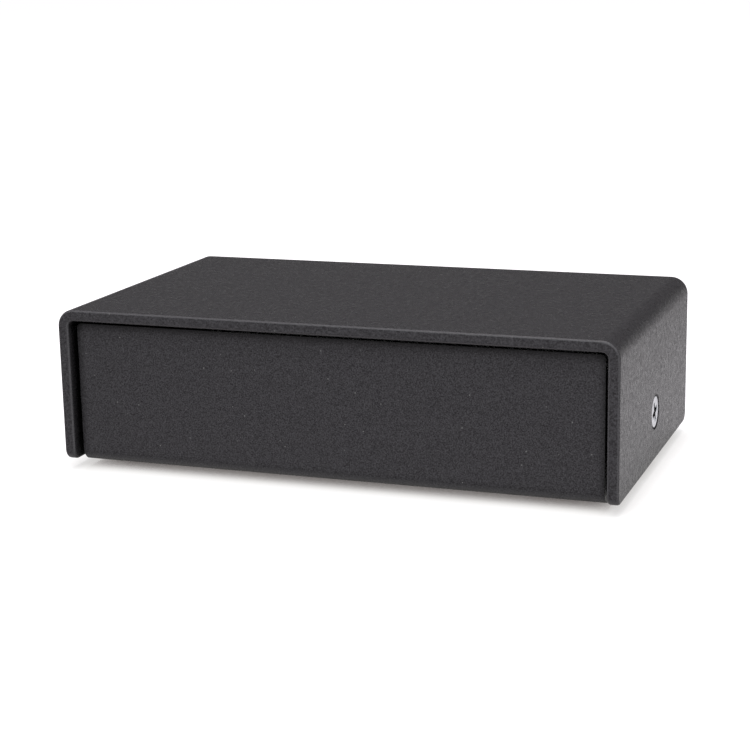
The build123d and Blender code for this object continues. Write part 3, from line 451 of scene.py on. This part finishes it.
solder_mask, tree, shader, place = new_material("green_solder_mask_laminate", "#14522C", 0.32)
tracks = add_node(
    tree,
    "TexVoronoi",
    {"Vector": place, "Scale": 1 / (TRACK_CELL * MM), "Randomness": 0.9},
    feature="DISTANCE_TO_EDGE",
)
copper = add_node(
    tree,
    "MapRange",
    {"Value": tracks.outputs["Distance"], "From Min": 0.1, "From Max": 0.14, "To Min": 0.0, "To Max": 1.0},
)
mask_colour = add_node(
    tree, "MixRGB", {"Fac": copper.outputs[0], "Color1": linear("#0F4424"), "Color2": linear("#1F6D3B")}
)
tree.links.new(mask_colour.outputs[0], shader.inputs["Base Color"])
weave = add_node(
    tree, "Bump", {"Height": copper.outputs[0], "Strength": 0.5, "Distance": 0.03 * MM}
)
tree.links.new(weave.outputs[0], shader.inputs["Normal"])

# %% [markdown]
# ## Resistor lacquer
#
# The resistors all lie along the same line of the board, so their colour bands can be
# drawn by the distance along that line alone: pale blue lacquer, then a band at each of
# four places.

# %% Resistors with their colour bands
resistor_low, resistor_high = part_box("resistors")
resistor_middle = (resistor_low[1] + resistor_high[1]) / 2
BAND_WIDTH = 0.55  # mm
BANDS = ((-1.9, "#6B3A1E"), (-0.8, "#1A1A1A"), (0.3, "#C8421C"), (1.9, "#7A4A26"))

lacquer, tree, shader, place = new_material("pale_blue_resistor_lacquer", "#8FB6C4", 0.26)
split = add_node(tree, "SeparateXYZ", {0: place})
along = add_node(tree, "Math", {0: split.outputs["Y"], 1: resistor_middle}, operation="SUBTRACT")
colour = add_node(tree, "TexNoise", {"Vector": place, "Scale": 1 / (0.9 * MM)}).outputs["Fac"]
coat = add_node(tree, "MixRGB", {"Fac": colour, "Color1": linear("#86AEBE"), "Color2": linear("#9CC0CC")})
for offset, hex_colour in BANDS:
    inside = add_node(
        tree, "Math", {0: along.outputs[0], 1: offset * MM, 2: BAND_WIDTH / 2 * MM}, operation="COMPARE"
    )
    coat = add_node(
        tree, "MixRGB", {"Fac": inside.outputs[0], "Color1": coat.outputs[0], "Color2": linear(hex_colour)}
    )
tree.links.new(coat.outputs[0], shader.inputs["Base Color"])

# %% [markdown]
# ## A finish for every part of the frame
#
# The record names a material slot for each node.  Most slots are one finish, and each
# node's object takes that finish in all its own slots.

# %% Give the frame its finishes
FINISHES = {
    "powder_coat": powder_coat,
    "foot_rubber": foot_rubber,
    "zinc_steel": zinc_plate,
    "nickel": nickel_plate,
    "tinned_contact": tinned_copper,
    "black_plastic": black_nylon,
    "white_plastic": white_polyacetal,
    "red_plastic": red_polyacetal,
    "board_laminate": solder_mask,
    "chip_plastic": chip_epoxy,
    "switch_laminate": phenolic,
    "capacitor_sleeve": sleeve_film,
    "film_box": film_epoxy,
    "resistor_lacquer": lacquer,
    "wire_insulation": wire_vinyl,
}
for subpart in frame["record"]["subparts"]:
    part = nodes[subpart["node"]]
    finish = FINISHES[subpart["material_slot"]]
    if not part.data.materials:
        part.data.materials.append(finish)
    for index in range(len(part.data.materials)):
        part.data.materials[index] = finish
print("Finishes given to", len(nodes), "nodes")

# %% [markdown]
# ## Painted shade in the recess of the cover screws
#
# The cross of each cover screw is punched deep into the head, and its inside is painted
# almost black beside the bright head, as painted shade.  Depth below the head's face is
# a distance along X alone, and both screws lie the same way, so one material masks the
# recess by that depth and by the distance from the screw's axis.

# %% Cover screws
RECESS_REACH = 2.1  # mm from the axis
RECESS_START = 0.1  # mm below the face
RECESS_END = 1.6

screw_low, screw_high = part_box("cover_screw_right")
screw_axis = [(low + high) / 2 for low, high in zip(screw_low, screw_high)]
cross_screw, tree, shader, place = new_material("zinc_plated_cross_screw", "#BFC2C6", 0.3, metallic=1.0)
cloudy = add_node(tree, "TexNoise", {"Vector": place, "Scale": 1 / (0.8 * MM), "Detail": 4.0})
split = add_node(tree, "SeparateXYZ", {0: place})
outward = add_node(tree, "Math", {0: split.outputs["X"]}, operation="ABSOLUTE")
depth = add_node(tree, "Math", {0: screw_high[0], 1: outward.outputs[0]}, operation="SUBTRACT")
below = add_node(tree, "Math", {0: depth.outputs[0], 1: RECESS_START * MM}, operation="GREATER_THAN")
above = add_node(tree, "Math", {0: depth.outputs[0], 1: RECESS_END * MM}, operation="LESS_THAN")
off_y = add_node(tree, "Math", {0: split.outputs["Y"], 1: screw_axis[1]}, operation="SUBTRACT")
off_z = add_node(tree, "Math", {0: split.outputs["Z"], 1: screw_axis[2]}, operation="SUBTRACT")
across = add_node(tree, "CombineXYZ", {"Y": off_y.outputs[0], "Z": off_z.outputs[0]})
radius = add_node(tree, "VectorMath", {0: across.outputs[0]}, operation="LENGTH")
near = add_node(tree, "Math", {0: radius.outputs["Value"], 1: RECESS_REACH * MM}, operation="LESS_THAN")
in_depth = add_node(tree, "Math", {0: below.outputs[0], 1: above.outputs[0]}, operation="MULTIPLY")
recess = add_node(tree, "Math", {0: in_depth.outputs[0], 1: near.outputs[0]}, operation="MULTIPLY")
plating = add_node(
    tree, "MixRGB", {"Fac": cloudy.outputs["Fac"], "Color1": linear("#C6C8CB"), "Color2": linear("#A9ACB0")}
)
# Painted shade: inside the recess the plating colour is swapped for near black.
screw_colour = add_node(
    tree, "MixRGB", {"Fac": recess.outputs[0], "Color1": plating.outputs[0], "Color2": linear("#2A2625")}
)
tree.links.new(screw_colour.outputs[0], shader.inputs["Base Color"])
for name in ("cover_screw_left", "cover_screw_right"):
    for index in range(len(nodes[name].data.materials)):
        nodes[name].data.materials[index] = cross_screw
print("Screw recess masked from", RECESS_START, "to", RECESS_END, "mm below the face")

# %% [markdown]
# ## Working in edit mode
#
# Every new piece starts from a primitive and is shaped with the operators that a
# modeller uses by hand.  Two helpers keep that short: one clears the selection before a
# primitive is added, and one finishes a piece, so that its object sits at the origin,
# rides on its body and has its finish.

# %% Helpers for modelling
def start():
    """Leaves edit mode's and the frame's selections behind before a primitive is added."""
    if bpy.context.object and bpy.context.object.mode == "EDIT":
        bpy.ops.object.mode_set(mode="OBJECT")
    bpy.ops.object.select_all(action="DESELECT")


def pick(piece, test, kind="FACE"):
    """Selects the piece's faces or vertices whose centre passes the test, and enters edit mode."""
    bpy.ops.object.mode_set(mode="EDIT")
    bpy.ops.mesh.select_mode(type=kind)
    bpy.ops.mesh.select_all(action="DESELECT")
    bpy.ops.object.mode_set(mode="OBJECT")
    if kind == "FACE":
        for face in piece.data.polygons:
            face.select = test(face)
    else:
        for point in piece.data.vertices:
            point.select = test(point)
    bpy.ops.object.mode_set(mode="EDIT")


def finish_piece(piece, name, material, body="case", smooth=30):
    """Puts the piece's place into its mesh, smooths it, and ties it to the frame."""
    if piece.mode == "EDIT":
        bpy.ops.object.mode_set(mode="OBJECT")
    bpy.ops.object.select_all(action="DESELECT")
    piece.select_set(True)
    bpy.context.view_layer.objects.active = piece
    bpy.ops.object.transform_apply(location=True, rotation=True, scale=True)
    bpy.ops.object.shade_smooth_by_angle(angle=math.radians(smooth))
    piece.name = name
    piece.data.materials.clear()
    piece.data.materials.append(material)
    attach(piece, body)
    print("Made", name, "with", len(piece.data.polygons), "faces")
    return piece


# %% [markdown]
# ## Words on the rear panel
#
# The rear panel is screen printed with plain words that say what each socket is for.
# The ink stands on the coat as a film a few hundredths of a millimetre thick.  Each word
# is a text object, turned to face backwards, then made a mesh and joined to the others.

# %% Print the rear panel
panel_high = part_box("base_tray")[1]
panel_face = panel_high[1]
INK = 0.03  # mm
TITLE_ROW = 23.4  # heights of the rows of words over the paper
SWITCH_TITLE_ROW = 16.6
CHANNEL_ROW = 8.4
TITLE_SIZE = 2.3
SWITCH_WORD_STEP = 5.7  # from the middle of the switch
FONT_HEIGHT = 1.35  # font size for a capital of height 1


def middle(node):
    """The middle of a node's box, in millimetres."""
    low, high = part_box(node)
    return [(a + b) / 2 / MM for a, b in zip(low, high)]


input_middle = middle("input_socket_block")[0]
output_middle = middle("output_socket_block")[0]
ground_middle = middle("ground_stud")[0]
jack_middle = middle("dc_jack_body")[0]
switch_middle = middle("switch_frame")
sockets = [middle(name) for name in ("input_left_sleeve", "input_right_sleeve")]
sockets += [middle(name) for name in ("output_left_sleeve", "output_right_sleeve")]
WORDS = [
    ("INPUT", input_middle, TITLE_ROW, TITLE_SIZE),
    ("OUTPUT", output_middle, TITLE_ROW, TITLE_SIZE),
    ("GND", ground_middle, TITLE_ROW, TITLE_SIZE),
    ("DC IN", jack_middle, TITLE_ROW, TITLE_SIZE),
    ("GAIN", switch_middle[0], SWITCH_TITLE_ROW, 1.9),
    ("MM", switch_middle[0] + SWITCH_WORD_STEP, switch_middle[2], 1.7),
    ("MC", switch_middle[0] - SWITCH_WORD_STEP, switch_middle[2], 1.7),
]
WORDS += [(letter, socket[0], CHANNEL_ROW, 2.1) for letter, socket in zip("LRLR", sockets)]

start()
printed = []
for word, x, z, size in WORDS:
    bpy.ops.object.text_add(
        location=(x * MM, panel_face, z * MM), rotation=(math.radians(90), 0, math.radians(180))
    )
    text = bpy.context.object
    text.data.body = word
    text.data.size = size * FONT_HEIGHT * MM
    text.data.align_x = "CENTER"
    text.data.align_y = "CENTER"
    text.data.extrude = INK / 2 * MM
    bpy.ops.object.convert(target="MESH")
    bpy.ops.object.transform_apply(location=True, rotation=True, scale=True)
    printed.append(bpy.context.object)
    bpy.ops.object.select_all(action="DESELECT")
for text in printed:
    text.select_set(True)
bpy.context.view_layer.objects.active = printed[0]
bpy.ops.object.join()
finish_piece(bpy.context.object, "rear_print", label_ink)

# %% [markdown]
# ## Threaded earth stud
#
# The frame's stud is a plain cylinder.  The real one has a metric thread, and its tip
# shows beyond the thumb nut.  A Screw modifier winds one tooth of the thread round the
# axis as many times as the stud is long, two cuts across it close its ends, and the
# last ring is drawn in to a chamfer.

# %% Wind the stud's thread
PITCH = 0.7  # mm
CREST = 1.94
ROOT = 1.6
CHAMFER = 0.5
THREAD_STEPS = 40

stud_low, stud_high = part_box("ground_stud")
stud_middle = middle("ground_stud")
stud_length = (stud_high[1] - stud_low[1]) / MM
stud_bottom = PITCH
stud_top = stud_bottom + stud_length

start()
bpy.ops.mesh.primitive_circle_add(vertices=4, radius=MM, location=(0, 0, 0))
stud = bpy.context.object
tooth = [(ROOT, 0.0), (CREST, 0.3), (CREST, 0.4), (ROOT, PITCH)]
for point, (radius, height) in zip(stud.data.vertices, tooth):
    point.co = (radius * MM, 0.0, height * MM)
pick(stud, lambda point: point.co.x < (ROOT + CREST) / 2 * MM, kind="VERT")
bpy.ops.mesh.select_mode(type="EDGE")
bpy.ops.mesh.delete(type="EDGE")
bpy.ops.object.mode_set(mode="OBJECT")
wind = stud.modifiers.new("wind", "SCREW")
wind.axis = "Z"
wind.screw_offset = PITCH * MM
wind.iterations = math.ceil(stud_length / PITCH) + 2
wind.steps = THREAD_STEPS
wind.render_steps = THREAD_STEPS
bpy.ops.object.modifier_apply(modifier="wind")
bpy.ops.object.mode_set(mode="EDIT")
bpy.ops.mesh.select_all(action="SELECT")
bpy.ops.mesh.remove_doubles(threshold=0.005 * MM)
bpy.ops.mesh.bisect(
    plane_co=(0, 0, stud_bottom * MM), plane_no=(0, 0, 1), clear_inner=True, use_fill=True, threshold=1e-7
)
bpy.ops.mesh.select_all(action="SELECT")
bpy.ops.mesh.bisect(
    plane_co=(0, 0, stud_top * MM), plane_no=(0, 0, 1), clear_outer=True, use_fill=True, threshold=1e-7
)
for height in (stud_bottom + CHAMFER, stud_top - CHAMFER):
    bpy.ops.mesh.select_all(action="SELECT")
    bpy.ops.mesh.bisect(plane_co=(0, 0, height * MM), plane_no=(0, 0, 1), threshold=1e-7)
bpy.ops.object.mode_set(mode="OBJECT")
for point in stud.data.vertices:
    radius = math.hypot(point.co.x, point.co.y) / MM
    to_end = min(point.co.z / MM - stud_bottom, stud_top - point.co.z / MM)
    allowed = CREST - CHAMFER + max(to_end, 0.0)
    if radius > allowed:
        point.co.x *= allowed / radius
        point.co.y *= allowed / radius
print("Thread wound:", len(stud.data.polygons), "faces")

# %% Add the stud's flange and set it in the panel
FLANGE_GAP = 0.05  # mm, to the washer
FLANGE_EDGE = 0.25

flange_radius = (stud_high[0] - stud_low[0]) / 2
flange_low = panel_face - stud_low[1] + stud_bottom * MM
flange_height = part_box("ground_washer")[0][1] - panel_face - FLANGE_GAP * MM
bpy.ops.mesh.primitive_cylinder_add(
    vertices=64, radius=flange_radius, depth=flange_height, location=(0, 0, flange_low + flange_height / 2)
)
flange = bpy.context.object
bpy.ops.object.transform_apply(location=True, rotation=True, scale=True)
pick(flange, lambda face: abs(face.normal.z) > 0.9)
bpy.ops.mesh.bevel(offset=FLANGE_EDGE * MM, segments=3)
bpy.ops.object.mode_set(mode="OBJECT")
stud.select_set(True)
bpy.context.view_layer.objects.active = stud
bpy.ops.object.join()
bpy.ops.object.mode_set(mode="EDIT")
bpy.ops.mesh.select_all(action="SELECT")
bpy.ops.mesh.normals_make_consistent(inside=False)
bpy.ops.object.mode_set(mode="OBJECT")
stud.rotation_euler = (math.radians(-90), 0, 0)
stud.location = (stud_middle[0] * MM, stud_low[1] - stud_bottom * MM, stud_middle[2] * MM)
finish_piece(stud, "threaded_ground_stud", nickel_plate)
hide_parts("ground_stud")
